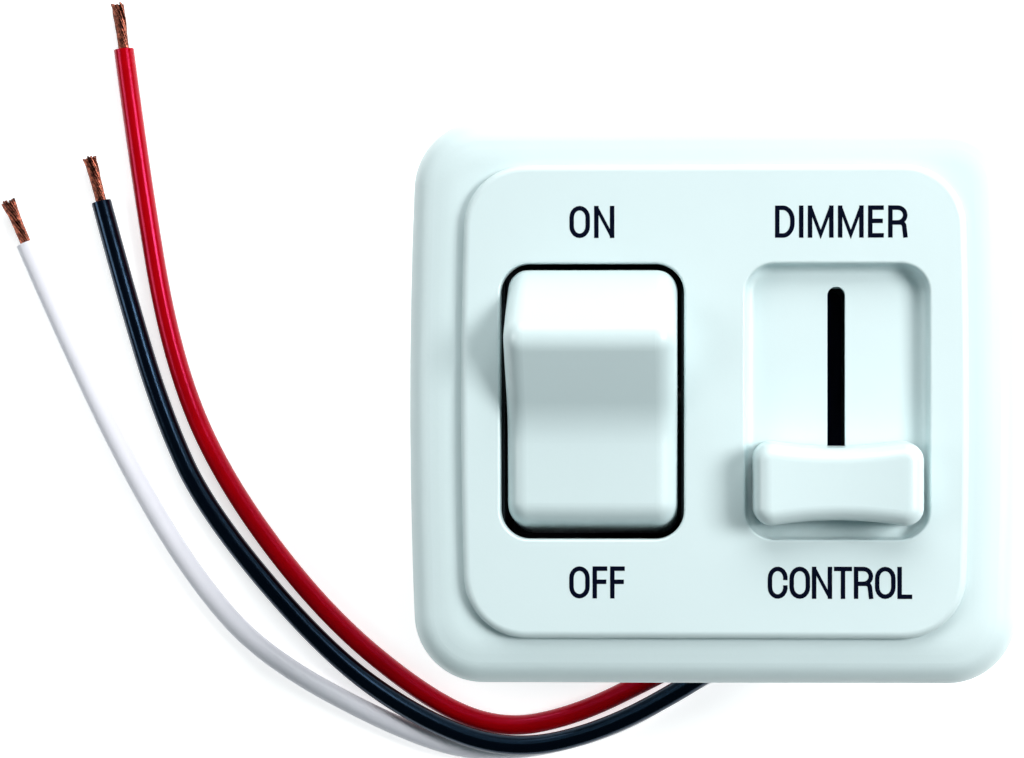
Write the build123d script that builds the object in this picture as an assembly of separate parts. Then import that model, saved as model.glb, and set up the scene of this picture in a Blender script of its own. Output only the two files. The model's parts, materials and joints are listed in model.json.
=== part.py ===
from build123d import *
import math
import os

# Wall dimmer with a rocker switch and a slide control, in millimetres.
# X runs across the front, Y up the front and Z out of the wall, and the wall plane is z = 0.
# It lies on its back, with its three leads on the surface, the rocker at OFF and the slider down.

# Face plate
face_height = 8.0
plate_width = 59.4
plate_height = 55.4
plate_corner = 7.4
plate_bow = 0.6
plate_thickness = 2.0
plate_edge_round = 0.9
plate_clearance = 0.06
opening_side_gap = 0.8
opening_end_gap = 0.36
opening_corner = 3.4
opening_edge_round = 0.3
opening_spacing = 7.1
well_depth = 2.4
well_wall = 1.5
well_draft = 6.0
well_floor_round = 1.0
slot_width = 2.1
slot_end_room = 1.8
tab_width = 7.0
tab_thickness = 1.4
tab_depth = 2.8
tab_spacing = 24.0
barb_height = 0.5
barb_drop = 1.4

# Bezel
bezel_width = 72.5
bezel_height = 66.8
bezel_corner = 8.2
bezel_bow = 0.9
bezel_step = 1.4
bezel_slope = 0.9
bezel_slope_width = 4.6
bezel_round = 3.4
bezel_crest_round = 9.0
ledge_width = 1.5
web_thickness = 2.0
web_recess = 0.8
rim_width = 3.0
groove_wall = 2.0
groove_roof = 2.4
wall_screw_radius = 1.6
wall_pad_radius = 2.8
wall_pad_gap = 0.3

# Rocker, drawn level about its pivot and then tilted to OFF
rocker_width = 19.9
pivot_depth = 6.6
rocker_reach = 16.4
rocker_ridge = 11.3
rocker_height = 10.9
rocker_dish = 2.8
rocker_end_bulge = 0.25
ridge_round = 3.0
valley_round = 10.0
rocker_side_round = 2.4
rocker_wall = 1.8
rocker_foot_wall = 2.9
rocker_rim_angle = 3.5
rocker_tilt = 17.0
rocker_clearance = 0.45
axle_radius = 1.6
axle_fit = 0.02
running_clearance = 0.05
ear_radius = 3.2
boss_radius = 2.9
boss_drop = 2.5
bore_top = 4.2
plunger_radius = 1.6
plunger_clearance = 0.1
plunger_reach = 7.0
plunger_head = 1.5
spring_wire = 0.4
spring_turns = 4

# Switch body and contacts
switch_wall = 1.45
switch_gap = 0.4
switch_floor_drop = 5.0
switch_floor = 1.6
web_fit = 0.2
flange_reach = 1.4
flange_height = 1.4
flange_length = 16.0
catch_reach = 0.3
catch_length = 6.0
catch_height = 2.4
contact_box_width = 12.0
contact_box_length = 21.2
contact_box_wall = 1.5
contact_box_depth = 9.0
contact_box_floor = 2.0
contact_drop = 8.45
bridge_ratio = -0.5
bridge_bend = 12.0
bridge_arm = 7.4
bridge_width = 4.4
bridge_thickness = 1.0
bridge_lift = 0.15
fulcrum_radius = 0.6
contact_arm = 5.4
moving_contact_radius = 1.3
moving_contact_height = 0.5
fixed_contact_radius = 1.4
fixed_contact_height = 0.6
contact_gap = 0.12
terminal_width = 4.8
terminal_thickness = 0.8
terminal_reach = 6.5
terminal_fit = 0.05

# Slide control
slider_end_room = 2.5
knob_width = 19.8
knob_height = 10.7
knob_waist = 8.6
knob_top = 5.2
knob_corner = 2.2
knob_draft = 1.5
knob_dish = 0.8
knob_edge_round = 1.8
knob_float = 0.4
knob_wall = 1.9
knob_roof = 2.6
socket_wall = 1.4
socket_depth = 5.2
lever_thickness = 1.2
lever_width = 4.4
lever_fit = 0.05
pot_width = 9.0
pot_end_room = 15.0
pot_height = 6.8
pot_wall = 0.5
pot_slot_width = 2.4
track_thickness = 1.0
carriage_width = 6.6
carriage_length = 8.0
carriage_fit = 0.15
wiper_thickness = 0.3
wiper_width = 4.6
wiper_span = 5.4
wiper_rise = 1.0
wiper_gap = 0.05
web_window_margin = 1.6

# Circuit board and its parts
board_depth = 12.5
board_thickness = 1.6
board_left = -0.5
board_right = 26.4
board_margin = 0.5
board_side_gap = 0.15
post_x = 2.2
post_spacing = 21.0
post_radius = 2.5
pin_post_x = 23.8
pin_post_inset = 4.3
pin_radius = 1.1
pin_fit = 0.1
transistor_x = 20.0
transistor_y = 1.5
transistor_width = 10.0
transistor_body_length = 9.2
transistor_height = 3.1
transistor_tab = 6.4
tab_plate = 1.3
tab_hole_radius = 1.8
transistor_leg = 2.6
leg_width = 0.8
leg_thickness = 0.5
leg_pitch = 2.54
capacitor_x = 10.0
capacitor_y = 10.4
capacitor_radius = 4.0
capacitor_length = 8.2
capacitor_groove = 0.4
chip_x = 12.8
chip_y = -10.0
chip_length = 9.6
chip_width = 6.4
chip_height = 3.3
chip_standoff = 0.5
chip_notch = 0.8
chip_pins_per_side = 4
resistor_x = 22.4
resistor_y = -14.0
resistor_pitch = 3.2
resistor_count = 3
resistor_radius = 1.1
resistor_length = 5.2
resistor_span = 7.4
diode_x = 10.6
diode_y = 0.5
diode_radius = 1.35
diode_length = 4.6
diode_span = 7.0
wire_leg_radius = 0.3
jumper_radius = 0.8
jumper_pad_x = 6.6
jumper_bend = 3.5
jumper_height = 1.8

# Rear cover
cover_depth = 26.0
cover_wall = 1.5
cover_floor = 1.8
cover_corner = 3.0
cover_back_round = 1.2
cover_side_room = 0.5
lip_height = 0.6
lip_width = 0.7
lip_fit = 0.1
vent_count = 5
vent_pitch = 4.0
vent_width = 1.6
vent_length = 9.0
screw_radius = 1.2
screw_fit = 0.1
screw_head_radius = 2.1
screw_head_height = 1.5
screw_bite = 7.0
screw_slot_width = 0.6
screw_slot_depth = 0.7
cover_boss_radius = 2.8

# Leads and grommet
lead_diameter = 2.6
lead_spacing = 3.2
first_lead_x = 0.6
lead_board_gap = 0.1
lead_inner_end = 0.5
lead_joint_length = 2.3
conductor_radius = 0.75
strand_count = 6
strand_nesting = 1.9
strand_length = 6.2
solder_radius = 1.0
solder_gap = 0.15
grommet_margin = 1.5
grommet_flange = 1.0
grommet_flange_thickness = 1.2
grommet_fit = 0.1
lead_fit = 0.05
lead_floor_lift = 0.05
lead_stack_gap = 0.25
bend_share = 0.45

# How near an edge has to lie to a height to be picked for a round
pick_tolerance = 0.01

# Heights and places that follow from the sizes above
ring_top = face_height - bezel_step
ledge = face_height - plate_thickness
web_back = web_recess
web_front = web_back + web_thickness
tab_face = plate_width / 2 - ledge_width - plate_bow - plate_clearance
pivot_z = face_height - pivot_depth
rocker_half = rocker_width / 2
opening_width = rocker_width + 2 * opening_side_gap
opening_height = 2 * (math.sqrt(rocker_reach**2 - (ledge - pivot_z) ** 2) + opening_end_gap)
module_x = (opening_width + opening_spacing) / 2
rim_y = rocker_reach * math.cos(math.radians(rocker_rim_angle))
rim_z = rocker_reach * math.sin(math.radians(rocker_rim_angle))
switch_inner = rocker_half + rocker_clearance
switch_half_width = switch_inner + switch_wall
switch_sweep = rocker_reach + rocker_clearance
switch_half_height = switch_sweep + switch_wall
switch_top = ledge - switch_gap
switch_shelf = pivot_z - switch_floor_drop
contact_floor = switch_shelf - contact_box_depth
switch_back = contact_floor - contact_box_floor
bridge_z = pivot_z - contact_drop
terminal_end = switch_back - terminal_reach
bridge_tilt = rocker_tilt * bridge_ratio
well_floor = face_height - well_depth
slider_travel = opening_height - knob_height - slider_end_room
slider_rest = -slider_travel / 2
slot_half = slider_travel / 2 + lever_width / 2 + slot_end_room
pot_length = slider_travel + pot_end_room
board_height = pot_length + 2 * board_margin
pin_post_spacing = board_height - 2 * pin_post_inset
board_front = -board_depth
board_back = board_front - board_thickness
track_top = board_front + track_thickness
pot_top = board_front + pot_height
cover_back = -cover_depth
cover_inside = cover_back + cover_floor
cover_inner_width = max(module_x + switch_half_width + cover_side_room, board_right + board_side_gap)
cover_half_width = cover_inner_width + cover_wall
cover_half_height = max(switch_half_height, board_height / 2) + cover_side_room + cover_wall
wall_screw_spacing = 2 * (cover_half_height + wall_pad_gap + wall_pad_radius)
lead_radius = lead_diameter / 2
lead_z = board_back - lead_board_gap - lead_radius
lead_y_inner = -board_height / 2 + lead_inner_end
lead_floor = cover_back + lead_radius + lead_floor_lift
lead_stack = lead_floor + lead_diameter + lead_stack_gap
grommet_x = first_lead_x + lead_spacing
lead_x = [first_lead_x + lead_spacing * place for place in range(3)]

# Points of each lead's route, chosen along its loose curve. The first lies inside the cover.
red_route = [
    (lead_x[0], lead_y_inner, lead_z),
    (lead_x[0], -25.2, lead_z),
    (-1.5, -32.2, -20.8),
    (-7.5, -35.95, lead_floor),
    (-18.5, -41.35, lead_floor),
    (-28.3, -43.2, lead_floor),
    (-38.1, -39.1, lead_floor),
    (-52.1, -27.5, lead_floor),
    (-65.4, -9.7, lead_floor),
    (-72.0, 6.7, lead_floor),
    (-76.0, 30.5, lead_floor),
    (-78.1, 46.5, lead_floor),
]
black_route = [
    (lead_x[1], lead_y_inner, lead_z),
    (lead_x[1], -25.0, lead_z),
    (2.6, -31.8, -18.1),
    (-2.0, -36.0, -20.8),
    (-14.6, -43.0, lead_stack),
    (-26.7, -45.6, lead_stack),
    (-38.7, -41.6, -22.7),
    (-51.7, -32.7, lead_floor),
    (-67.2, -14.4, lead_floor),
    (-73.1, -1.4, lead_floor),
    (-77.9, 14.5, lead_floor),
    (-81.1, 26.4, lead_floor),
]
white_route = [
    (lead_x[2], lead_y_inner, lead_z),
    (lead_x[2], -25.2, lead_z),
    (5.2, -32.0, -20.8),
    (-2.2, -36.3, lead_floor),
    (-14.4, -43.6, lead_floor),
    (-30.1, -46.6, lead_floor),
    (-41.7, -43.2, lead_floor),
    (-59.3, -33.8, lead_floor),
    (-68.4, -23.7, lead_floor),
    (-77.2, -9.2, lead_floor),
    (-86.1, 9.4, lead_floor),
    (-91.1, 20.9, lead_floor),
]


def block(x_span, y_span, z_span):
    """A box between two coordinates on each axis."""
    spans = (x_span, y_span, z_span)
    middle = [(low + high) / 2 for low, high in spans]
    return Pos(*middle) * Box(*[abs(high - low) for low, high in spans])


def rod(x, y, z_low, z_high, radius):
    """A cylinder along Z between two heights."""
    return Pos(x, y, (z_low + z_high) / 2) * Cylinder(radius, z_high - z_low)


def prism(sketch, z_low, z_high):
    """A sketch in the wall plane, raised between two heights."""
    return extrude(Pos(0, 0, z_low) * sketch, amount=z_high - z_low)


def across(sketch, x_low, x_high):
    """A profile drawn in Y and Z, carried from one X to another."""
    return extrude(Pos(x_low, 0, 0) * (Plane.YZ * sketch), amount=x_high - x_low)


def bowed_outline(width, height, corner, bow):
    """A rounded rectangle whose left and right sides swell a little at mid height."""
    edge = width / 2 - bow
    half = height / 2
    sides = [
        Line((-edge, -half), (edge, -half)),
        ThreePointArc((edge, -half), (width / 2, 0), (edge, half)),
        Line((edge, half), (-edge, half)),
        ThreePointArc((-edge, half), (-width / 2, 0), (-edge, -half)),
    ]
    face = make_face(sides)
    return fillet(face.vertices(), corner)


def tab_places():
    """The side and height of each clip tab of the face plate."""
    return [(side, height * tab_spacing / 2) for side in (-1, 1) for height in (-1, 1)]


def barb(side, y, grow):
    """A clip tab's wedge, or with some growth the pocket that takes it."""
    wall = tab_face
    top = ledge - barb_drop
    tip = barb_height + plate_clearance + plate_bow
    profile = Polyline(
        (wall - tab_thickness / 2, top + grow),
        (wall + tip + grow, top + grow),
        (wall, ledge - tab_depth - grow),
        (wall - tab_thickness / 2, ledge - tab_depth - grow),
        close=True,
    )
    length = tab_width + 2 * grow
    wedge = extrude(Plane.XZ * make_face(profile), amount=length / 2, both=True)
    placed = wedge if side > 0 else mirror(wedge, about=Plane.YZ)
    return Pos(0, y, 0) * placed


def bezel():
    """The tray behind the face plate, with its sloping ring and the web that carries the works."""
    body = prism(bowed_outline(bezel_width, bezel_height, bezel_corner, bezel_bow), 0, ring_top)
    top = body.faces().sort_by(Axis.Z)[-1]
    body = chamfer(top.edges(), bezel_slope_width, bezel_slope, reference=top)
    shoulder_z = ring_top - bezel_slope
    near = (shoulder_z - pick_tolerance, shoulder_z + pick_tolerance)
    shoulder = body.edges().filter_by_position(Axis.Z, *near)
    body = fillet(shoulder, bezel_round)
    crest = body.faces().sort_by(Axis.Z)[-1].edges()
    body = fillet(crest, bezel_crest_round)

    rebate = [plate_width + 2 * plate_clearance, plate_height + 2 * plate_clearance]
    body -= prism(bowed_outline(*rebate, plate_corner + plate_clearance, plate_bow), ledge, face_height)
    inside = [plate_width - 2 * ledge_width, plate_height - 2 * ledge_width]
    inside_corner = plate_corner - ledge_width
    body -= prism(bowed_outline(*inside, inside_corner, plate_bow), web_front, face_height)

    rim = [bezel_width - 2 * rim_width, bezel_height - 2 * rim_width]
    rim_corner = bezel_corner - rim_width
    body -= prism(bowed_outline(*rim, rim_corner, bezel_bow), 0, web_back)
    groove_top = ring_top - groove_roof
    wall = [size + 2 * groove_wall for size in inside]
    groove = prism(bowed_outline(*rim, rim_corner, bezel_bow), web_back, groove_top)
    groove -= prism(bowed_outline(*wall, inside_corner + groove_wall, plate_bow), web_back, groove_top)
    body -= groove

    for side, y in tab_places():
        body -= barb(side, y, plate_clearance)
    opening = [2 * (switch_half_width + web_fit), 2 * (switch_half_height + web_fit)]
    body -= Pos(-module_x, 0, 0) * prism(Rectangle(*opening), 0, ledge - switch_gap)
    window = [lever_thickness + 2 * web_window_margin, 2 * slot_half]
    body -= Pos(module_x, 0, 0) * prism(Rectangle(*window), 0, web_front)

    for y in (-wall_screw_spacing / 2, wall_screw_spacing / 2):
        body += rod(0, y, 0, web_front, wall_pad_radius)
        body -= rod(0, y, 0, web_front, wall_screw_radius)
    for y in (-post_spacing / 2, post_spacing / 2):
        body += rod(post_x, y, board_front, web_front, post_radius)
        body -= rod(post_x, y, board_front, board_front + screw_bite + screw_fit, screw_radius + screw_fit)
    for y in (-pin_post_spacing / 2, pin_post_spacing / 2):
        body += rod(pin_post_x, y, board_front, web_front, post_radius)
        body += rod(pin_post_x, y, board_back, board_front, pin_radius)
    lip = cover_outline(lip_fit) - cover_outline(-lip_width - lip_fit)
    return body - prism(lip, web_back, web_back + lip_height + lip_fit)


def cover_outline(margin):
    """The rear cover's outline, widened by a margin on every side."""
    size = [2 * (cover_half_width + margin), 2 * (cover_half_height + margin)]
    return RectangleRounded(*size, cover_corner + margin)


def face_plate():
    """The clip-on front, with the rocker's opening and the slider's well."""
    body = prism(bowed_outline(plate_width, plate_height, plate_corner, plate_bow), ledge, face_height)
    body = fillet(body.faces().sort_by(Axis.Z)[-1].edges(), plate_edge_round)
    window = RectangleRounded(opening_width, opening_height, opening_corner)
    body -= Pos(-module_x, 0, 0) * prism(window, ledge, face_height)

    tub = RectangleRounded(
        opening_width + 2 * well_wall, opening_height + 2 * well_wall, opening_corner + well_wall
    )
    body += Pos(module_x, 0, 0) * prism(tub, well_floor - well_wall, face_height - plate_edge_round)
    well = extrude(Pos(0, 0, face_height) * window, amount=-well_depth, taper=well_draft)
    well = fillet(well.faces().sort_by(Axis.Z)[0].edges(), well_floor_round)
    body -= Pos(module_x, 0, 0) * well
    slot = Rot(0, 0, 90) * SlotOverall(2 * slot_half, slot_width)
    body -= Pos(module_x, 0, 0) * prism(slot, well_floor - well_wall, well_floor)

    reach_x = module_x + opening_width / 2 + pick_tolerance
    reach_y = opening_height / 2 + pick_tolerance
    lips = body.edges().filter_by(lambda edge: abs(edge.center().Z - face_height) < pick_tolerance)
    lips = lips.filter_by(lambda edge: abs(edge.center().X) < reach_x and abs(edge.center().Y) < reach_y)
    body = fillet(lips, opening_edge_round)

    for side, y in tab_places():
        tab_x = (side * (tab_face - tab_thickness), side * tab_face)
        tab_y = (y - tab_width / 2, y + tab_width / 2)
        body += block(tab_x, tab_y, (ledge - tab_depth, ledge))
        body += barb(side, y, 0)
    return body


def rocker_profile():
    """The rocker's side view: bulging ends, two rounded ridges and a valley between them."""
    rim = Vector(rim_y, rim_z)
    ridge = Vector(rocker_ridge, rocker_height)
    valley = Vector(0, rocker_height - rocker_dish)
    chord = (rim - ridge).normalized()
    middle = (rim + ridge) / 2 + Vector(-chord.Y, chord.X) * rocker_end_bulge
    half = [ThreePointArc(rim, middle, ridge), Line(ridge, valley)]
    other_half = [mirror(edge, about=Plane.YZ) for edge in half]
    face = make_face([*half, *other_half, Line(rim, Vector(-rim_y, rim_z))])
    face = fillet(face.vertices().sort_by(Axis.Y)[-2:], ridge_round)
    return fillet(face.vertices().sort_by_distance(valley)[:1], valley_round)


def to_rocker(shape):
    """Moves a piece drawn level about the pivot to the rocker's place at OFF."""
    return Pos(-module_x, 0, pivot_z) * Rot(rocker_tilt, 0, 0) * shape


def rocker():
    """The rocker cap: a shell with an ear for a pin at each side and a boss for the plunger."""
    profile = rocker_profile()
    body = across(profile, -rocker_half, rocker_half)
    sides = body.faces().filter_by(Axis.X).edges()
    body = fillet(sides.filter_by(lambda edge: edge.center().Z > rim_z + pick_tolerance), rocker_side_round)
    hollow = offset(profile, amount=-rocker_wall)
    foot_y = rocker_reach - rocker_foot_wall
    hollow += Pos(0, rim_z) * Rectangle(2 * foot_y, 3 * rocker_wall)
    body -= across(hollow, -rocker_half + rocker_wall, rocker_half - rocker_wall)

    ear = Circle(ear_radius) + Pos(0, rim_z / 2) * Rectangle(2 * ear_radius, rim_z)
    for side in (-1, 1):
        inner = side * (rocker_half - rocker_wall)
        outer = side * rocker_half
        body += across(ear, inner, outer)
        body -= across(Circle(axle_radius + axle_fit), inner, outer)
    boss_top = rocker_height - rocker_dish - rocker_wall / 2
    body += rod(0, 0, -boss_drop, boss_top, boss_radius)
    body -= rod(0, 0, -boss_drop, bore_top, plunger_radius + plunger_clearance)
    return to_rocker(body)


def rocker_pins():
    """The two steel pins that the rocker turns on, pressed into its ears."""
    pins = []
    for side in (-1, 1):
        inner = side * (rocker_half - rocker_wall)
        tip = side * (switch_half_width - rocker_clearance)
        pins.append(across(Circle(axle_radius), inner, tip))
    return to_rocker(Compound(pins))


def plunger():
    """The nylon pin with a round tip that rides in the rocker's boss."""
    tip = -plunger_reach + plunger_radius
    body = rod(0, 0, tip, -plunger_head, plunger_radius)
    return to_rocker(body + Pos(0, 0, tip) * Sphere(plunger_radius))


def plunger_spring():
    """The coil spring behind the plunger, seated in the boss's bore."""
    low = -plunger_head + spring_wire / 2
    height = bore_top - spring_wire / 2 - low
    radius = plunger_radius - spring_wire / 2
    path = Helix(height / spring_turns, height, radius)
    start = Plane(origin=path @ 0, z_dir=path % 0)
    wire = sweep(start * Circle(spring_wire / 2), path=path, is_frenet=True)
    return to_rocker(Pos(0, 0, low) * wire)


def switch_body():
    """The black case of the rocker switch, with the contact box behind it."""
    shelf_under = switch_shelf - switch_floor
    size = [2 * switch_half_width, 2 * switch_half_height]
    body = prism(Rectangle(*size), shelf_under, switch_top)
    case = [contact_box_width + 2 * contact_box_wall, contact_box_length + 2 * contact_box_wall]
    body += prism(Rectangle(*case), switch_back, shelf_under)
    flange = [size[0] + 2 * flange_reach, flange_length]
    body += prism(Rectangle(*flange), web_front, web_front + flange_height)
    catch = Polyline(
        (switch_half_width - switch_wall / 2, web_back),
        (switch_half_width + catch_reach, web_back),
        (switch_half_width, web_back - catch_height),
        (switch_half_width - switch_wall / 2, web_back - catch_height),
        close=True,
    )
    catch = extrude(Plane.XZ * make_face(catch), amount=catch_length / 2, both=True)
    body += [catch, mirror(catch, about=Plane.YZ)]

    room = Pos(0, pivot_z) * Circle(switch_sweep)
    above = switch_top - switch_shelf + switch_sweep
    room &= Pos(0, switch_shelf + above / 2) * Rectangle(2 * switch_sweep, above)
    body -= across(room, -switch_inner, switch_inner)
    box = Rectangle(contact_box_width, contact_box_length)
    body -= prism(box, contact_floor, switch_shelf)
    holes = across(Pos(0, pivot_z) * Circle(axle_radius + running_clearance), -size[0], size[0])
    body -= holes
    stop = bridge_z - contact_gap - moving_contact_height
    body += block((-bridge_width / 2, bridge_width / 2), (contact_arm, bridge_arm), (contact_floor, stop))
    line_slot, load_slot = terminal_slots()
    body -= [line_slot, load_slot]
    return Pos(-module_x, 0, 0) * body


def terminal_slots():
    """The slots in the contact box's floor that hold the two terminals."""
    half = terminal_width / 2 + terminal_fit
    floor = (switch_back, contact_floor)
    line = block((-half, half), (-fulcrum_radius - terminal_fit, fulcrum_radius + terminal_fit), floor)
    load_y = load_blade()
    load = block((-half, half), (load_y[0] - terminal_fit, load_y[1] + terminal_fit), floor)
    return line, load


def load_blade():
    """The span in Y of the load terminal's blade, at the outer edge of its contact."""
    outer = -contact_arm - fixed_contact_radius
    return outer, outer + terminal_thickness


def line_terminal():
    """The centre terminal, whose rounded top is the fulcrum of the contact bridge."""
    height = bridge_z - terminal_end
    blade = Pos(0, bridge_z - height / 2) * Rectangle(2 * fulcrum_radius, height)
    blade += Pos(0, bridge_z) * Circle(fulcrum_radius)
    return Pos(-module_x, 0, 0) * across(blade, -terminal_width / 2, terminal_width / 2)


def fixed_contact_top():
    """The height of the fixed contact's face, just under the moving one at ON."""
    lean = math.radians(bridge_bend + bridge_tilt)
    face = contact_arm * math.sin(lean) + (bridge_lift - moving_contact_height) * math.cos(lean)
    return bridge_z + face - moving_contact_radius * math.sin(lean) - contact_gap


def load_terminal():
    """The bent terminal that carries the fixed contact on its foot."""
    foot_top = fixed_contact_top() - fixed_contact_height
    low, high = load_blade()
    span = (-terminal_width / 2, terminal_width / 2)
    body = block(span, (low, high), (terminal_end, foot_top))
    foot_end = -contact_arm + fixed_contact_radius
    body += block(span, (low, foot_end), (foot_top - terminal_thickness, foot_top))
    return Pos(-module_x, 0, 0) * body


def load_contact():
    """The fixed contact on the load terminal."""
    top = fixed_contact_top()
    return Pos(-module_x, 0, 0) * rod(0, -contact_arm, top - fixed_contact_height, top, fixed_contact_radius)


def to_bridge(shape):
    """Moves a piece drawn level about the fulcrum to the bridge's place at OFF."""
    return Pos(-module_x, 0, bridge_z) * Rot(bridge_tilt, 0, 0) * shape


def contact_bridge():
    """The rocking brass bridge, bent up at both arms, with a groove for the fulcrum."""
    half = bridge_width / 2
    arm = block((-half, half), (0, bridge_arm), (bridge_lift, bridge_lift + bridge_thickness))
    body = Rot(bridge_bend, 0, 0) * arm
    body += mirror(body, about=Plane.XZ)
    groove = across(Circle(fulcrum_radius + running_clearance), -half, half)
    return to_bridge(body - groove)


def bridge_contact():
    """The moving contact under the bridge's lower arm."""
    face = rod(0, -contact_arm, bridge_lift - moving_contact_height, bridge_lift, moving_contact_radius)
    return to_bridge(Rot(-bridge_bend, 0, 0) * face)


def to_slider(shape):
    """Moves a piece drawn about the slider's own middle to its place at rest."""
    return Pos(module_x, slider_rest, 0) * shape


def lever_top():
    """The height of the lever's end inside the knob's socket."""
    return well_floor + knob_float + socket_depth


def slider_knob():
    """The finger grip: waisted sides, a dished top and a socket for the lever."""
    low = well_floor + knob_float
    high = face_height + knob_top
    half = knob_width / 2
    end = knob_height / 2
    waist = knob_waist / 2
    sides = [
        ThreePointArc((-half, -end), (0, -waist), (half, -end)),
        Line((half, -end), (half, end)),
        ThreePointArc((half, end), (0, waist), (-half, end)),
        Line((-half, end), (-half, -end)),
    ]
    face = make_face(sides)
    plan = fillet(face.vertices(), knob_corner)
    body = extrude(Pos(0, 0, low) * plan, amount=high - low, taper=knob_draft)
    dish_radius = (half**2 + knob_dish**2) / (2 * knob_dish)
    dish = Pos(0, 0, high - knob_dish + dish_radius) * Rot(90, 0, 0) * Cylinder(dish_radius, 2 * knob_height)
    body -= dish
    rim = body.edges().filter_by(lambda edge: edge.center().Z > high - 2 * knob_dish)
    body = fillet(rim.filter_by(lambda edge: edge.bounding_box().size.Z < 2 * knob_dish), knob_edge_round)

    inner = [knob_width - 2 * knob_wall, knob_waist - 2 * knob_wall]
    hollow = prism(RectangleRounded(*inner, knob_corner - knob_wall / 2), low, high - knob_dish - knob_roof)
    boss = [lever_thickness + 2 * socket_wall, knob_waist]
    hollow -= prism(Rectangle(*boss), low, high)
    body -= hollow
    socket = [lever_thickness + 2 * lever_fit, lever_width + 2 * lever_fit]
    return to_slider(body - prism(Rectangle(*socket), low, lever_top()))


def slider_lever():
    """The carriage of the slide control and the flat lever that carries the knob."""
    low = track_top + wiper_gap + wiper_rise
    high = pot_top - pot_wall - carriage_fit
    body = prism(RectangleRounded(carriage_width, carriage_length, wiper_thickness), low, high)
    return to_slider(body + prism(Rectangle(lever_thickness, lever_width), high, lever_top()))


def slider_wiper():
    """The arched spring contact under the carriage."""
    low = track_top + wiper_gap
    high = low + wiper_rise
    half = wiper_span / 2
    outer = ThreePointArc((-half, low), (0, high), (half, low))
    inner_half = half - 2 * wiper_thickness
    inner = ThreePointArc((inner_half, low), (0, high - wiper_thickness), (-inner_half, low))
    feet = [Line((half, low), (inner_half, low)), Line((-inner_half, low), (-half, low))]
    return to_slider(across(make_face([outer, inner, *feet]), -wiper_width / 2, wiper_width / 2))


def pot_frame():
    """The folded steel channel of the slide control."""
    body = prism(Rectangle(pot_width, pot_length), board_front, pot_top)
    inner = [pot_width - 2 * pot_wall, pot_length - 2 * pot_wall]
    body -= prism(Rectangle(*inner), board_front, pot_top - pot_wall)
    slot = Rot(0, 0, 90) * SlotOverall(2 * slot_half, pot_slot_width)
    return Pos(module_x, 0, 0) * (body - prism(slot, pot_top - pot_wall, pot_top))


def pot_track():
    """The phenolic strip that carries the resistance track."""
    room = 2 * (pot_wall + carriage_fit)
    strip = Rectangle(pot_width - room, pot_length - room)
    return Pos(module_x, 0, 0) * prism(strip, board_front, track_top)


def circuit_board():
    """The circuit board behind the slide control, clamped between posts and bosses."""
    half = board_height / 2
    body = block((board_left, board_right), (-half, half), (board_back, board_front))
    for y in (-post_spacing / 2, post_spacing / 2):
        body -= rod(post_x, y, board_back, board_front, screw_radius + screw_fit)
    for y in (-pin_post_spacing / 2, pin_post_spacing / 2):
        body -= rod(pin_post_x, y, board_back, board_front, pin_radius + pin_fit)
    return body


def transistor_body():
    """The moulded body of the switching transistor, on its metal tab."""
    high = board_back - tab_plate
    half = transistor_width / 2
    y_low = transistor_y - transistor_body_length / 2
    y_high = transistor_y + transistor_body_length / 2
    body = block((-half, half), (y_low, y_high), (high - transistor_height, high))
    outer_edges = body.faces().sort_by(Axis.Z)[0].edges()
    return Pos(transistor_x, 0, 0) * chamfer(outer_edges, leg_thickness)


def transistor_tab_and_legs():
    """The transistor's metal tab, which lies on the board, and its three formed legs."""
    half = transistor_width / 2
    y_low = transistor_y - transistor_body_length / 2
    y_high = transistor_y + transistor_body_length / 2 + transistor_tab
    tab = block((-half, half), (y_low, y_high), (board_back - tab_plate, board_back))
    tab -= rod(0, y_high - transistor_tab / 2, board_back - tab_plate, board_back, tab_hole_radius)
    legs = []
    leg_top = board_back - tab_plate - transistor_height / 2 + leg_thickness
    for place in (-1, 0, 1):
        x_span = (place * leg_pitch - leg_width / 2, place * leg_pitch + leg_width / 2)
        flat = block(x_span, (y_low - transistor_leg, y_low), (leg_top - leg_thickness, leg_top))
        foot_y = (y_low - transistor_leg, y_low - transistor_leg + leg_thickness)
        legs.append(flat + block(x_span, foot_y, (leg_top - leg_thickness, board_back)))
    return Pos(transistor_x, 0, 0) * Compound([tab, *legs])


def filter_capacitor():
    """The electrolytic capacitor, with the rolled groove near its foot."""
    foot = board_back
    body = rod(0, 0, foot - capacitor_length, foot, capacitor_radius)
    body = fillet(body.edges(), capacitor_groove)
    ring = Pos(0, 0, foot - 4 * capacitor_groove) * Torus(capacitor_radius, capacitor_groove)
    return Pos(capacitor_x, capacitor_y, 0) * (body - ring)


def timer_chip():
    """The moulded body of the timer chip, with a notch at one end."""
    high = board_back - chip_standoff
    half = chip_length / 2
    body = block((-half, half), (-chip_width / 2, chip_width / 2), (high - chip_height, high))
    body -= rod(-half, 0, high - chip_height, high - chip_height + chip_standoff, chip_notch)
    return Pos(chip_x, chip_y, 0) * body


def chip_pins():
    """The chip's pins, four to a side, bent down to the board."""
    pins = []
    shoulder = board_back - chip_standoff - chip_height / 2
    first = -leg_pitch * (chip_pins_per_side - 1) / 2
    for place in range(chip_pins_per_side):
        x = first + leg_pitch * place
        for side in (-1, 1):
            wall = side * chip_width / 2
            y_span = (wall, wall + side * leg_thickness)
            pins.append(block((x - leg_width / 2, x + leg_width / 2), y_span, (shoulder, board_back)))
    return Pos(chip_x, chip_y, 0) * Compound(pins)


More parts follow.
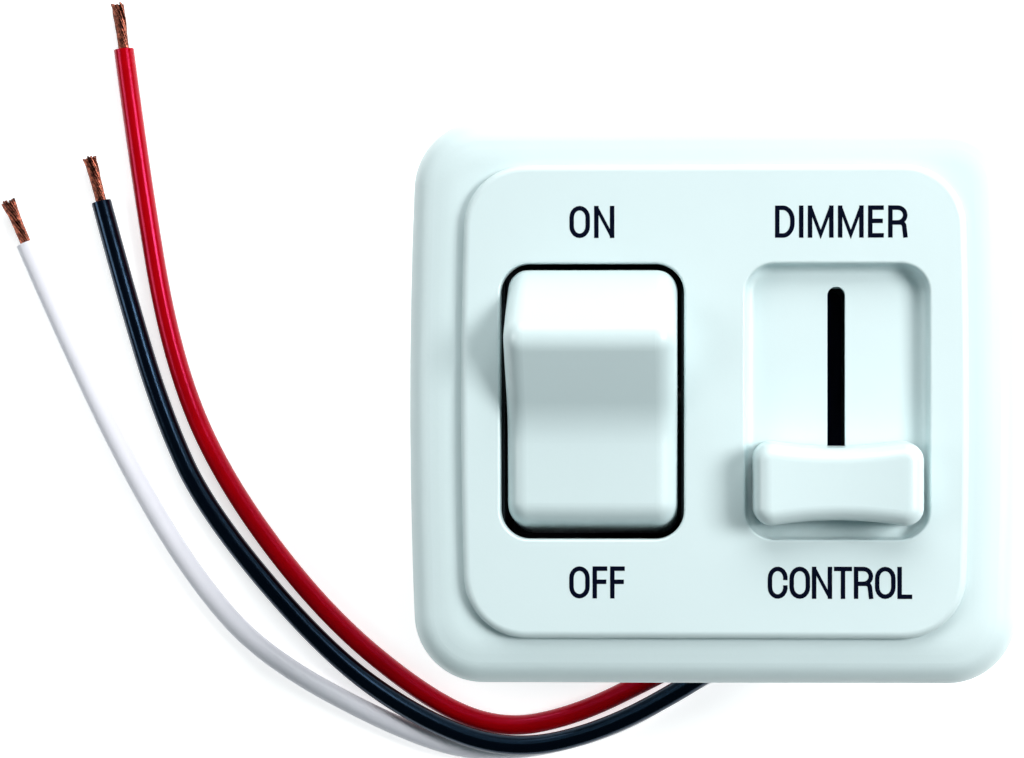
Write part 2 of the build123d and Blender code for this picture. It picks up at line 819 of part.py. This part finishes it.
def axial_part(radius, length, span):
    """A round part lying along X with its two wire legs bent to the board."""
    drop = radius + wire_leg_radius
    half = span / 2
    body = Rot(0, 90, 0) * Cylinder(radius, length)
    body = fillet(body.edges(), radius / 3)
    path = FilletPolyline(
        (-half, 0, drop), (-half, 0, 0), (half, 0, 0), (half, 0, drop), radius=2 * wire_leg_radius
    )
    start = Plane(origin=path @ 0, z_dir=path % 0)
    legs = sweep(start * Circle(wire_leg_radius), path=path)
    return Pos(0, 0, board_back - drop) * (body + legs)


def resistors():
    """The row of film resistors."""
    one = axial_part(resistor_radius, resistor_length, resistor_span)
    places = [resistor_y + resistor_pitch * place for place in range(resistor_count)]
    return Compound([Pos(resistor_x, y, 0) * one for y in places])


def diode():
    """The flyback diode."""
    one = Rot(0, 0, 90) * axial_part(diode_radius, diode_length, diode_span)
    return Pos(diode_x, diode_y, 0) * one


def jumper(y):
    """A short insulated wire from a switch terminal to the circuit board."""
    tab_x = -module_x + terminal_width / 2
    z = terminal_end + jumper_height
    path = FilletPolyline(
        (tab_x, y, z), (jumper_pad_x, y, z), (jumper_pad_x, y, board_back), radius=jumper_bend
    )
    start = Plane(origin=path @ 0, z_dir=path % 0)
    return sweep(start * Circle(jumper_radius), path=path)


def line_jumper():
    """The wire from the centre terminal."""
    return jumper(0)


def load_jumper():
    """The wire from the load terminal."""
    return jumper(sum(load_blade()) / 2)


def grommet_outline(margin):
    """The grommet's oblong outline in X and Z, widened by a margin on every side."""
    height = lead_diameter + 2 * grommet_margin + 2 * margin
    return SlotOverall(2 * lead_spacing + height, height)


def through_wall(sketch, y_outer, y_inner):
    """A sketch in X and Z about the leads, carried through the lower wall of the cover."""
    solid = extrude(Plane.XZ * sketch, amount=y_inner - y_outer)
    return Pos(grommet_x, y_inner, lead_z) * solid


def rear_cover():
    """The deep cover behind the wall, with screw bosses, vents and the grommet's hole."""
    body = prism(cover_outline(0), cover_back, web_back)
    body = fillet(body.faces().sort_by(Axis.Z)[0].edges(), cover_back_round)
    body -= prism(cover_outline(-cover_wall), cover_inside, web_back)
    lip = cover_outline(0) - cover_outline(-lip_width)
    body += prism(lip, web_back, web_back + lip_height)
    for y in (-post_spacing / 2, post_spacing / 2):
        body += rod(post_x, y, cover_inside, board_back, cover_boss_radius)
        body -= rod(post_x, y, cover_back, board_back, screw_radius + screw_fit)
        head = screw_head_height + screw_fit
        body -= rod(post_x, y, cover_back, cover_back + head, screw_head_radius + screw_fit)
    wall_inner = cover_half_height - cover_wall
    hole = grommet_outline(grommet_fit)
    body -= through_wall(hole, -cover_half_height, -wall_inner)
    middle = (cover_inside + web_back) / 2
    first = module_x - vent_pitch * (vent_count - 1) / 2
    vent_outline = Rot(0, 0, 90) * SlotOverall(vent_length, vent_width)
    for place in range(vent_count):
        vent = extrude(Plane.XZ * vent_outline, amount=-2 * cover_wall)
        body -= Pos(first + vent_pitch * place, wall_inner - cover_wall / 2, middle) * vent
    return body


def cover_screws():
    """The two long screws that clamp the cover and the board to the bezel's posts."""
    seat = cover_back + screw_head_height
    end = board_front + screw_bite
    screws = []
    for y in (-post_spacing / 2, post_spacing / 2):
        one = rod(0, 0, cover_back, seat, screw_head_radius) + rod(0, 0, seat, end, screw_radius)
        slot_x = (-screw_head_radius, screw_head_radius)
        slot_y = (-screw_slot_width / 2, screw_slot_width / 2)
        one -= block(slot_x, slot_y, (cover_back, cover_back + screw_slot_depth))
        screws.append(Pos(post_x, y, screw_fit / 2) * one)
    return Compound(screws)


def lead_grommet():
    """The rubber grommet that holds the leads in the cover's lower wall."""
    outer = -cover_half_height
    inner = outer + cover_wall
    body = through_wall(grommet_outline(0), outer, inner)
    body += through_wall(grommet_outline(grommet_flange), outer - grommet_flange_thickness, outer)
    body += through_wall(grommet_outline(grommet_flange), inner, inner + grommet_flange)
    length = cover_wall + grommet_flange_thickness + grommet_flange
    for x in lead_x:
        hole = extrude(Plane.XZ * Circle(lead_radius + lead_fit), amount=length)
        body -= Pos(x, inner + grommet_flange, lead_z) * hole
    return body


def bend_radii(points):
    """The largest arc that each corner of a route has room for."""
    radii = []
    for before, corner, after in zip(points, points[1:], points[2:]):
        arriving = Vector(*corner) - Vector(*before)
        leaving = Vector(*after) - Vector(*corner)
        half_turn = math.radians(arriving.get_angle(leaving)) / 2
        radii.append(bend_share * min(arriving.length, leaving.length) / math.tan(half_turn))
    return radii


def lead(name, points):
    """One insulated lead, from inside the cover to its stripped end."""
    radii = bend_radii(points)
    path = FilletPolyline(*points, radius=radii)
    start = Plane(origin=path @ 0, z_dir=path % 0)
    body = sweep(start * Circle(lead_radius), path=path)
    length = path.length
    ideal = math.pi * lead_radius**2 * length
    print(name, "length", round(length, 1), "volume ratio", round(body.volume / ideal, 4))
    print(name, "bend radii", [round(radius, 1) for radius in radii])
    return body


def lead_end(points):
    """A plane at a lead's stripped end, facing the way that the lead runs."""
    last = Vector(*points[-1])
    return Plane(origin=last, z_dir=last - Vector(*points[-2]))


def strands(points):
    """The bare copper at a lead's end: one strand with a ring of strands laid round it."""
    strand_radius = conductor_radius / 3
    bundle = Circle(strand_radius)
    outer = Pos(strand_nesting * strand_radius, 0) * Circle(strand_radius)
    for place in range(strand_count):
        bundle += Rot(0, 0, 360 / strand_count * place) * outer
    return extrude(lead_end(points) * bundle, amount=strand_length)


def lead_joints():
    """The inner ends of the leads, bared and soldered to the board."""
    joints = []
    end = lead_y_inner + lead_joint_length
    for x in lead_x:
        wire = extrude(Plane.XZ * Circle(conductor_radius), amount=lead_joint_length)
        solder = rod(x, lead_y_inner + solder_gap + solder_radius, lead_z, board_back, solder_radius)
        joints.append(Pos(x, end, lead_z) * wire + solder)
    return Compound(joints)


nodes = {
    "bezel": bezel(),
    "face_plate": face_plate(),
    "rocker": rocker(),
    "rocker_pins": rocker_pins(),
    "rocker_plunger": plunger(),
    "plunger_spring": plunger_spring(),
    "switch_body": switch_body(),
    "contact_bridge": contact_bridge(),
    "bridge_contact": bridge_contact(),
    "line_terminal": line_terminal(),
    "load_terminal": load_terminal(),
    "load_contact": load_contact(),
    "slider_knob": slider_knob(),
    "slider_lever": slider_lever(),
    "slider_wiper": slider_wiper(),
    "pot_frame": pot_frame(),
    "pot_track": pot_track(),
    "circuit_board": circuit_board(),
    "transistor_body": transistor_body(),
    "transistor_tab": transistor_tab_and_legs(),
    "filter_capacitor": filter_capacitor(),
    "timer_chip": timer_chip(),
    "chip_pins": chip_pins(),
    "resistors": resistors(),
    "diode": diode(),
    "line_jumper": line_jumper(),
    "load_jumper": load_jumper(),
    "rear_cover": rear_cover(),
    "cover_screws": cover_screws(),
    "lead_grommet": lead_grommet(),
    "lead_joints": lead_joints(),
    "red_lead": lead("red_lead", red_route),
    "black_lead": lead("black_lead", black_route),
    "white_lead": lead("white_lead", white_route),
    "red_strands": strands(red_route),
    "black_strands": strands(black_route),
    "white_strands": strands(white_route),
}

os.makedirs("parts", exist_ok=True)
for name, shape in nodes.items():
    export_step(shape, f"parts/{name}.step")
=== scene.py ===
import json
import math
import random

import bmesh
import bpy
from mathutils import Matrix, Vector


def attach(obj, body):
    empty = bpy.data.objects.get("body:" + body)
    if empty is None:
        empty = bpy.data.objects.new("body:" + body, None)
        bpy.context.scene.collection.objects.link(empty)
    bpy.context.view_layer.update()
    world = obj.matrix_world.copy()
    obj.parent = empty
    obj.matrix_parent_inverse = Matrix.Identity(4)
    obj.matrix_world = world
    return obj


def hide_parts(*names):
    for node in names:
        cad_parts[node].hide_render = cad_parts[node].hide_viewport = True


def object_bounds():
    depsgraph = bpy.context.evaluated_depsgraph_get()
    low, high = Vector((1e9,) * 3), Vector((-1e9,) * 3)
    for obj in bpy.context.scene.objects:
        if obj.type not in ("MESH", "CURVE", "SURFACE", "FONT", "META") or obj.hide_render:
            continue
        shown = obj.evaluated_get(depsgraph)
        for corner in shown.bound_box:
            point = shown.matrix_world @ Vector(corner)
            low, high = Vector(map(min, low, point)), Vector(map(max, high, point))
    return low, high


# Wall dimmer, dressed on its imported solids: finishes, camera, leads, bared copper, printed words and light.
# Sizes are in millimetres, and turned to metres where they meet the scene, unless a comment says metres.

MM = 0.001
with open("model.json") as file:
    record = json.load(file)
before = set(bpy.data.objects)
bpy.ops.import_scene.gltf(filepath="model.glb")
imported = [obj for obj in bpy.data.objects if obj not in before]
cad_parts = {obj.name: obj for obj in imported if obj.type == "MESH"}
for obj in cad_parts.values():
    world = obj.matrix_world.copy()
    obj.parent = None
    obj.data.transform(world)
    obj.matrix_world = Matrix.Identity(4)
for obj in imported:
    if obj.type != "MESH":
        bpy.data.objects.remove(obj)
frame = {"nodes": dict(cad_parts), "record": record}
nodes = frame["nodes"]
cad_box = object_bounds()
scene = bpy.context.scene
scene.view_settings.view_transform = "Standard"

# Leads: their insulation, and the route of each from inside the rear cover to its stripped end
lead_diameter = 2.6
lead_roundness = 7
lead_smoothness = 14
lead_z = -15.5
lead_floor = -24.65
lead_stack = -21.8
routes = {
    "red": [
        (0.6, -17.0, lead_z), (0.6, -25.2, lead_z), (-1.5, -32.2, -20.8), (-7.5, -35.95, lead_floor),
        (-18.5, -41.35, lead_floor), (-28.3, -43.2, lead_floor), (-38.1, -39.1, lead_floor),
        (-52.1, -27.5, lead_floor), (-65.4, -9.7, lead_floor), (-72.0, 6.7, lead_floor),
        (-76.0, 30.5, lead_floor), (-78.1, 46.5, lead_floor),
    ],
    "black": [
        (3.8, -17.0, lead_z), (3.8, -25.0, lead_z), (2.6, -31.8, -18.1), (-2.0, -36.0, -20.8),
        (-14.6, -43.0, lead_stack), (-26.7, -45.6, lead_stack), (-38.7, -41.6, -22.7),
        (-51.7, -32.7, lead_floor), (-67.2, -14.4, lead_floor), (-73.1, -1.4, lead_floor),
        (-77.9, 14.5, lead_floor), (-81.1, 26.4, lead_floor),
    ],
    "white": [
        (7.0, -17.0, lead_z), (7.0, -25.2, lead_z), (5.2, -32.0, -20.8), (-2.2, -36.3, lead_floor),
        (-14.4, -43.6, lead_floor), (-30.1, -46.6, lead_floor), (-41.7, -43.2, lead_floor),
        (-59.3, -33.8, lead_floor), (-68.4, -23.7, lead_floor), (-77.2, -9.2, lead_floor),
        (-86.1, 9.4, lead_floor), (-91.1, 20.9, lead_floor),
    ],
}

# Bared copper: each ring is its radius and its number of strands, and the twist is in degrees
copper_rings = ((0.0, 1), (0.3, 6), (0.6, 12))
copper_length = 6.2
copper_shortest = 0.94
copper_twist = 150
copper_start_play = 0.1
copper_splay = 0.5
copper_hold = 0.92
copper_steps = 12
strand_radius = 0.145
strand_roundness = 3

# Printed words: the plate's face, the ink on it, and each word's middle and width
face_z = 8.0
ink_reach = 0.02
ink_layer = 0.003
word_height = 3.75
upper_row = 20.95
lower_row = -21.1
words = (
    ("ON", (-14.3, upper_row), 5.25),
    ("OFF", (-13.7, lower_row), 6.5),
    ("DIMMER", (14.75, upper_row), 15.4),
    ("CONTROL", (14.6, lower_row), 16.8),
)

# Camera, over the face as in the photograph, with its turn in degrees and its near clip in metres
camera_sensor = 36.0
camera_lens = 77.28
camera_shift = (-0.16, 0.0225)
camera_place = (0.72, -0.06, 264.2)
camera_turn = 1.168
camera_clip = 0.01

# Floor, in metres, with patches of tone in millimetres
floor_reach = 4.0
floor_gap = 0.00005
floor_tones = (0.75, 0.76)
floor_patch = 60
floor_roughness = 0.75
floor_specular = 0.2
floor_glow = 0.64

# Lights, in metres and watts: each is its place, its size and its power
lights = {
    "key": ((0.45, 0.11, 0.42), (0.22, 0.22), 3.8),
    "top": ((0.05, 0.8, 0.55), (1.0, 0.6), 8.6),
    "left": ((-0.7, 0.05, 0.45), (0.3, 0.3), 1.4),
}
sky_colour = (0.3, 0.9, 1, 1)
sky_strength = 0.06


def metres(point):
    """A point in millimetres as a vector in metres."""
    return Vector([MM * value for value in point])


def add_object(name, data):
    """Puts new data into the scene as an object."""
    made = bpy.data.objects.new(name, data)
    scene.collection.objects.link(made)
    return made


# Node helpers for the finishes

noise_low = 0.3
noise_high = 0.7


def new_finish(name, roughness, metallic=0.0, specular=0.5):
    """A material with its constant values set on the shader."""
    material = bpy.data.materials.new(name)
    material.use_nodes = True
    shader = material.node_tree.nodes["Principled BSDF"]
    shader.inputs["Roughness"].default_value = roughness
    shader.inputs["Metallic"].default_value = metallic
    shader.inputs["Specular IOR Level"].default_value = specular
    return material, material.node_tree, shader


def noise(tree, size, detail=2.0, stretch=(1, 1, 1)):
    """Noise in the part's own frame, whose features are about so many millimetres across."""
    place = tree.nodes.new("ShaderNodeTexCoord")
    shape = tree.nodes.new("ShaderNodeMapping")
    shape.inputs["Scale"].default_value = stretch
    texture = tree.nodes.new("ShaderNodeTexNoise")
    texture.inputs["Scale"].default_value = 1 / (MM * size)
    texture.inputs["Detail"].default_value = detail
    tree.links.new(place.outputs["Object"], shape.inputs["Vector"])
    tree.links.new(shape.outputs["Vector"], texture.inputs["Vector"])
    return texture.outputs["Fac"]


def to_range(tree, factor, low, high):
    """Maps the middle of a noise to a range of values."""
    spread = tree.nodes.new("ShaderNodeMapRange")
    spread.inputs["From Min"].default_value = noise_low
    spread.inputs["From Max"].default_value = noise_high
    spread.inputs["To Min"].default_value = low
    spread.inputs["To Max"].default_value = high
    tree.links.new(factor, spread.inputs["Value"])
    return spread.outputs["Result"]


def two_tone(tree, factor, first, second):
    """A ramp between two colours over the middle of a noise."""
    ramp = tree.nodes.new("ShaderNodeValToRGB")
    stops = ramp.color_ramp.elements
    for stop, position, colour in ((stops[0], noise_low, first), (stops[1], noise_high, second)):
        stop.position = position
        stop.color = (*colour, 1)
    tree.links.new(factor, ramp.inputs["Fac"])
    return ramp.outputs["Color"]


def relief(tree, shader, height, depth):
    """Fine relief on a surface, as deep as so many millimetres."""
    bump = tree.nodes.new("ShaderNodeBump")
    bump.inputs["Distance"].default_value = MM * depth
    tree.links.new(height, bump.inputs["Height"])
    tree.links.new(bump.outputs["Normal"], shader.inputs["Normal"])


def vary(tree, shader, tones, tone_noise, gloss, gloss_noise):
    """Drives a shader's colour and roughness, each between two values by a noise."""
    tree.links.new(two_tone(tree, tone_noise, *tones), shader.inputs["Base Color"])
    tree.links.new(to_range(tree, gloss_noise, *gloss), shader.inputs["Roughness"])


def shaded(colour, share):
    """A colour at some share of its brightness."""
    return [share * value for value in colour]


def moulded(name, colour, shade, gloss, grain, depth, specular=0.5):
    """Moulded plastic: a faint drift of tone, uneven gloss, and the mould's fine grain."""
    tone_size = 14
    gloss_size = 5
    material, tree, shader = new_finish(name, gloss[0], specular=specular)
    tones = (shaded(colour, shade), colour)
    vary(tree, shader, tones, noise(tree, tone_size), gloss, noise(tree, gloss_size, detail=4))
    relief(tree, shader, noise(tree, grain, detail=3), depth)
    return material


def insulation(name, colour, shade, gloss, specular, tint):
    """Extruded wire insulation: a tinted gloss, with a slow waver left by the die and some rub marks."""
    tone_size = 6
    gloss_size = 1.2
    waver_size = 2.4
    waver_depth = 0.03
    material, tree, shader = new_finish(name, gloss[0], specular=specular)
    shader.inputs["Specular Tint"].default_value = (*tint, 1)
    tones = (shaded(colour, shade), colour)
    vary(tree, shader, tones, noise(tree, tone_size, detail=4), gloss, noise(tree, gloss_size, detail=5))
    relief(tree, shader, noise(tree, waver_size, detail=2), waver_depth)
    return material


def metal(name, colour, dark, gloss, grain, depth, stretch=(1, 1, 1), patch=1.8):
    """Bare or plated metal: two tones over a noise, which are tarnish on most metals and painted shade among
    the bared copper strands, and drawn or brushed lines.
    """
    gloss_size = 0.7
    material, tree, shader = new_finish(name, gloss[0], metallic=1.0)
    tones = (dark, colour)
    vary(tree, shader, tones, noise(tree, patch, detail=5), gloss, noise(tree, gloss_size, detail=4))
    relief(tree, shader, noise(tree, grain, 3, stretch), depth)
    return material


# Finishes, by the record's material slots. A plastic is its colour, shade, gloss, grain and depth of grain,
# and its specular level where that isn't the usual one. Blackened steel is made as a plastic is.

white = (0.645, 0.765, 0.775)
plastics = {
    "white_abs": (white, 0.985, (0.36, 0.44), 0.32, 0.006),
    "black_nylon": ((0.004, 0.008, 0.014), 0.7, (0.5, 0.62), 0.3, 0.01),
    "natural_nylon": ((0.72, 0.68, 0.56), 0.95, (0.42, 0.52), 0.3, 0.006),
    "phenolic": ((0.01, 0.016, 0.1), 0.7, (0.45, 0.6), 0.4, 0.01, 0.3),
    "board_laminate": ((0.02, 0.16, 0.05), 0.8, (0.25, 0.35), 0.5, 0.008),
    "moulded_epoxy": ((0.015, 0.015, 0.016), 0.8, (0.5, 0.62), 0.2, 0.01),
    "capacitor_can": ((0.02, 0.03, 0.1), 0.85, (0.22, 0.32), 0.8, 0.004),
    "resistor_body": ((0.55, 0.4, 0.22), 0.9, (0.35, 0.5), 0.3, 0.01),
    "black_rubber": ((0.012, 0.012, 0.012), 0.7, (0.62, 0.75), 0.25, 0.015),
    "dark_steel": ((0.008, 0.008, 0.009), 0.7, (0.5, 0.65), 0.3, 0.006),
}

# An insulation is its colour, shade, gloss, specular level and the tint of its highlight
insulations = {
    "red_pvc": ((0.42, 0.0003, 0.002), 0.8, (0.19, 0.24), 0.8, (1, 0.08, 0.3)),
    "black_pvc": ((0.0008, 0.001, 0.003), 0.7, (0.17, 0.22), 0.55, (0.3, 0.58, 1)),
    "white_pvc": ((0.77, 0.76, 0.82), 0.97, (0.28, 0.38), 0.3, (1, 1, 1)),
}

# A metal is its colour, its darker tone, gloss, grain and depth of grain, and where they aren't the usual
# ones, how its lines are drawn out and the size of its patches of the darker tone. The darker tone is
# tarnish, except on bare copper, where it is painted shade
metals = {
    "brass": ((0.72, 0.5, 0.2), (0.5, 0.33, 0.12), (0.25, 0.4), 0.2, 0.004, (1, 6, 1)),
    "silver": ((0.86, 0.85, 0.82), (0.68, 0.66, 0.62), (0.18, 0.3), 0.2, 0.003),
    "spring_steel": ((0.6, 0.6, 0.6), (0.42, 0.42, 0.43), (0.25, 0.4), 0.2, 0.004, (6, 1, 1)),
    "tinned_metal": ((0.75, 0.75, 0.73), (0.58, 0.58, 0.57), (0.25, 0.42), 0.3, 0.006),
    # Bare copper's near-black patches are painted shade, standing in for the dark gaps between the strands;
    # the noise scatters them at random
    "bare_copper": ((0.42, 0.13, 0.08), (0.02, 0.005, 0.006), (0.2, 0.35), 0.15, 0.006, (1, 1, 1), 0.6),
}
finishes = {}
for maker, table in ((moulded, plastics), (insulation, insulations), (metal, metals)):
    for slot, values in table.items():
        finishes[slot] = maker(slot, *values)

# What fingers touch is polished
polished = moulded("white_abs_touched", white, 0.995, (0.28, 0.29), 0.4, 0.004)
touched_nodes = ("rocker", "slider_knob")
for row in frame["record"]["subparts"]:
    chosen = polished if row["node"] in touched_nodes else finishes[row["material_slot"]]
    for place in nodes[row["node"]].material_slots:
        place.material = chosen


def place_camera():
    """Looks almost straight down at the face; the photograph's framing keeps the part to the right."""
    data = bpy.data.cameras.new("camera")
    data.sensor_width = camera_sensor
    data.lens = camera_lens
    data.shift_x, data.shift_y = camera_shift
    data.clip_start = camera_clip
    camera = add_object("camera", data)
    camera.location = metres(camera_place)
    camera.rotation_euler = (0, math.radians(camera_turn), 0)
    scene.camera = camera


place_camera()


# Leads with their bared copper


def new_curve(name, radius, roundness):
    """An empty round curve with closed ends."""
    data = bpy.data.curves.new(name, "CURVE")
    data.dimensions = "3D"
    data.bevel_depth = MM * radius
    data.bevel_resolution = roundness
    data.use_fill_caps = True
    return data


def lead_curve(name, points):
    """One smooth lead along its route, with a clean cut end."""
    data = new_curve(name, lead_diameter / 2, lead_roundness)
    spline = data.splines.new("NURBS")
    spline.points.add(len(points) - 1)
    for control, point in zip(spline.points, points):
        control.co = (*metres(point), 1)
    spline.order_u = 3
    spline.use_endpoint_u = True
    spline.resolution_u = lead_smoothness
    return add_object(name, data)


def copper_bundle(name, points, seed):
    """Twisted strands at a lead's end, the outer ones a little splayed at their tips."""
    rng = random.Random(seed)
    end = Vector(points[-1])
    axis = (end - Vector(points[-2])).normalized()
    side = axis.cross(Vector((0, 0, 1))).normalized()
    upper = side.cross(axis)
    data = new_curve(name, strand_radius, strand_roundness)
    twist = math.radians(copper_twist)
    for ring, count in copper_rings:
        for place in range(count):
            start = 2 * math.pi * place / count + rng.uniform(-copper_start_play, copper_start_play)
            splay = rng.uniform(0.0, copper_splay)
            reach = copper_length * rng.uniform(copper_shortest, 1.0)
            spline = data.splines.new("POLY")
            spline.points.add(copper_steps - 1)
            for step, control in enumerate(spline.points):
                along = step / (copper_steps - 1)
                angle = start + twist * along
                away = ring * (copper_hold + splay * along**2)
                across = away * (math.cos(angle) * side + math.sin(angle) * upper)
                control.co = (*metres(end + axis * reach * along + across), 1)
    return add_object(name, data)


for seed, (colour, points) in enumerate(routes.items()):
    lead = lead_curve(f"{colour}_insulation", points)
    lead.data.materials.append(finishes[f"{colour}_pvc"])
    copper = copper_bundle(f"{colour}_copper", points, seed)
    copper.data.materials.append(finishes["bare_copper"])
    for piece, node, slot in (
        (lead, f"{colour}_lead", f"{colour}_pvc"),
        (copper, f"{colour}_strands", "bare_copper"),
    ):
        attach(piece, "housing")
        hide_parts(node)


# Printed words, in a plain condensed letter drawn from strokes. A letter is 1 high, and its strokes run
# along these lines, half a stroke inside its outline.

stroke = 0.14
letter_widths = {
    "O": 0.64, "N": 0.63, "F": 0.46, "D": 0.61, "I": stroke, "M": 0.8, "E": 0.49, "R": 0.6, "C": 0.62,
    "T": 0.56, "L": 0.46,
}
thin = 0.74
sharpest_mitre = 0.35
same_point = 1e-4


def bow(centre, radii, start, end, steps=10):
    """Points along part of an ellipse, between two angles in degrees."""
    points = []
    for step in range(steps + 1):
        angle = math.radians(start + (end - start) * step / steps)
        points.append((centre[0] + radii[0] * math.cos(angle), centre[1] + radii[1] * math.sin(angle)))
    return points


def letter(name):
    """The strokes of one letter and its width. A stroke is its points and its weight."""
    width = letter_widths[name]
    low = stroke / 2
    high = 1 - stroke / 2
    left = stroke / 2
    right = width - stroke / 2
    middle = width / 2
    half = (right - left) / 2
    round_height = 0.29
    upper_round = ((middle, high - round_height), (half, round_height))
    lower_round = ((middle, low + round_height), (half, round_height))
    stem = ([(left, 0), (left, 1)], 1)
    post = ([(right, 0), (right, 1)], 1)
    top_bar = ([(left, high), (width, high)], 1)
    foot_bar = ([(left, low), (width, low)], 1)
    if name == "O":
        top_bow = bow(*upper_round, 0, 180)
        return [([*top_bow, *bow(*lower_round, 180, 360), top_bow[0]], 1)], width
    if name == "C":
        mouth = 12
        return [(bow(*upper_round, -mouth, 180) + bow(*lower_round, 180, 360 + mouth), 1)], width
    if name == "D":
        turn = 0.38
        bend = half * 1.25
        belly = bow((right - bend, high - turn), (bend, turn), 90, 0)
        belly += bow((right - bend, low + turn), (bend, turn), 0, -90)
        return [stem, ([(left, high), *belly, (left, low)], 1)], width
    if name == "R":
        waist = 0.47
        turn = (high - waist) / 2
        knee = 0.13
        shin = right - 0.03
        toe = right + 0.01
        bowl = bow((right - turn, high - turn), (turn, turn), 90, -90)
        bent = bow((shin - knee, waist - knee), (knee, knee), 90, 0)
        leg = [(middle - knee, waist), *bent, (toe, 0)]
        return [stem, ([(left, high), *bowl, (left, waist)], 1), (leg, 1)], width
    if name == "N":
        tuck = 0.04
        return [stem, post, ([(left, 1 - tuck), (right, tuck)], thin)], width
    if name == "M":
        shoulder = 0.98
        dip = 0.1
        return [stem, post, ([(left, shoulder), (middle, dip), (right, shoulder)], thin)], width
    if name == "I":
        return [stem], width
    if name == "T":
        return [([(middle, 0), (middle, 1)], 1), ([(0, high), (width, high)], 1)], width
    if name == "L":
        return [stem, foot_bar], width
    arm_height = 0.52
    arm_end = width - 0.03
    arm = ([(left, arm_height), (arm_end, arm_height)], 1)
    return [stem, top_bar, arm, *([foot_bar] if name == "E" else [])], width


def ribbon(points, closed, thickness):
    """The two edges of a stroke along a line of points, mitred at each turn."""
    path = [Vector(point) for point in points]
    kept = [path[0]]
    for point in path[1:]:
        if (point - kept[-1]).length > same_point:
            kept.append(point)
    if closed:
        kept.pop()
    edges = []
    for place, point in enumerate(kept):
        before = kept[place - 1] if closed or place else None
        after = kept[(place + 1) % len(kept)] if closed or place + 1 < len(kept) else None
        arriving = (point - before).normalized() if before is not None else (after - point).normalized()
        leaving = (after - point).normalized() if after is not None else arriving
        normal = Vector((-arriving.y - leaving.y, arriving.x + leaving.x)).normalized()
        reach = thickness / 2 / max(sharpest_mitre, normal.dot(Vector((-leaving.y, leaving.x))))
        edges.append((point + normal * reach, point - normal * reach))
    return edges


def print_word(word, centre, width, height):
    """One word in thin ink on the face plate, set to a given width."""
    glyphs = [letter(name) for name in word]
    natural = sum(glyph[1] for glyph in glyphs)
    gap = (width / height - natural) / (len(word) - 1)
    mesh = bmesh.new()
    cursor = -width / height / 2
    ink_low = face_z - ink_reach
    for strokes, advance in glyphs:
        for layer, (points, weight) in enumerate(strokes):
            ink_top = face_z + ink_reach + ink_layer * layer
            closed = points[0] == points[-1]
            rows = []
            for pair in ribbon(points, closed, stroke * weight):
                corners = []
                for z in (ink_top, ink_low):
                    for x, y in pair:
                        spot = (centre[0] + height * (cursor + x), centre[1] + height * (y - 0.5), z)
                        corners.append(mesh.verts.new(metres(spot)))
                rows.append(corners)
            following = rows[1:] + rows[:1] if closed else rows[1:]
            for one, two in zip(rows, following):
                for first, second in ((0, 1), (1, 3), (3, 2), (2, 0)):
                    mesh.faces.new((one[first], one[second], two[second], two[first]))
            if not closed:
                for row in (rows[0], rows[-1]):
                    mesh.faces.new((row[0], row[1], row[3], row[2]))
        cursor += advance + gap
    bmesh.ops.recalc_face_normals(mesh, faces=mesh.faces)
    data = bpy.data.meshes.new(f"word_{word.lower()}")
    mesh.to_mesh(data)
    mesh.free()
    printed = add_object(f"word_{word.lower()}", data)
    data.materials.append(ink)
    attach(printed, "housing")


ink = moulded("ink", (0.0008, 0.002, 0.011), 0.8, (0.6, 0.7), 0.2, 0.002, 0.03)
for word, centre, width in words:
    print_word(word, centre, width, word_height)


# Floor and light


def lay_floor():
    """A wide pale light table, just under the part."""
    mesh = bpy.data.meshes.new("floor")
    z = cad_box[0][2] - floor_gap
    corners = [(x * floor_reach, y * floor_reach, z) for x, y in ((-1, -1), (1, -1), (1, 1), (-1, 1))]
    mesh.from_pydata(corners, [], [(0, 1, 2, 3)])
    floor = add_object("floor", mesh)
    material, tree, shader = new_finish("floor", floor_roughness, specular=floor_specular)
    tones = [(tone, tone, tone) for tone in floor_tones]
    tree.links.new(two_tone(tree, noise(tree, floor_patch), *tones), shader.inputs["Base Color"])
    shader.inputs["Emission Color"].default_value = (1, 1, 1, 1)
    shader.inputs["Emission Strength"].default_value = floor_glow
    mesh.materials.append(material)


def area_light(name, place, size, power):
    """A soft box that faces the part."""
    data = bpy.data.lights.new(name, "AREA")
    data.shape = "RECTANGLE"
    data.size, data.size_y = size
    data.energy = power
    light = add_object(name, data)
    light.location = place
    light.rotation_euler = (-Vector(place)).to_track_quat("-Z", "Y").to_euler()


def light_sky():
    """A weak sky all round, as cool as the photograph's shade."""
    world = bpy.data.worlds.new("studio")
    world.use_nodes = True
    background = world.node_tree.nodes["Background"]
    background.inputs["Color"].default_value = sky_colour
    background.inputs["Strength"].default_value = sky_strength
    scene.world = world


lay_floor()
for name, (place, size, power) in lights.items():
    area_light(name, place, size, power)
light_sky()
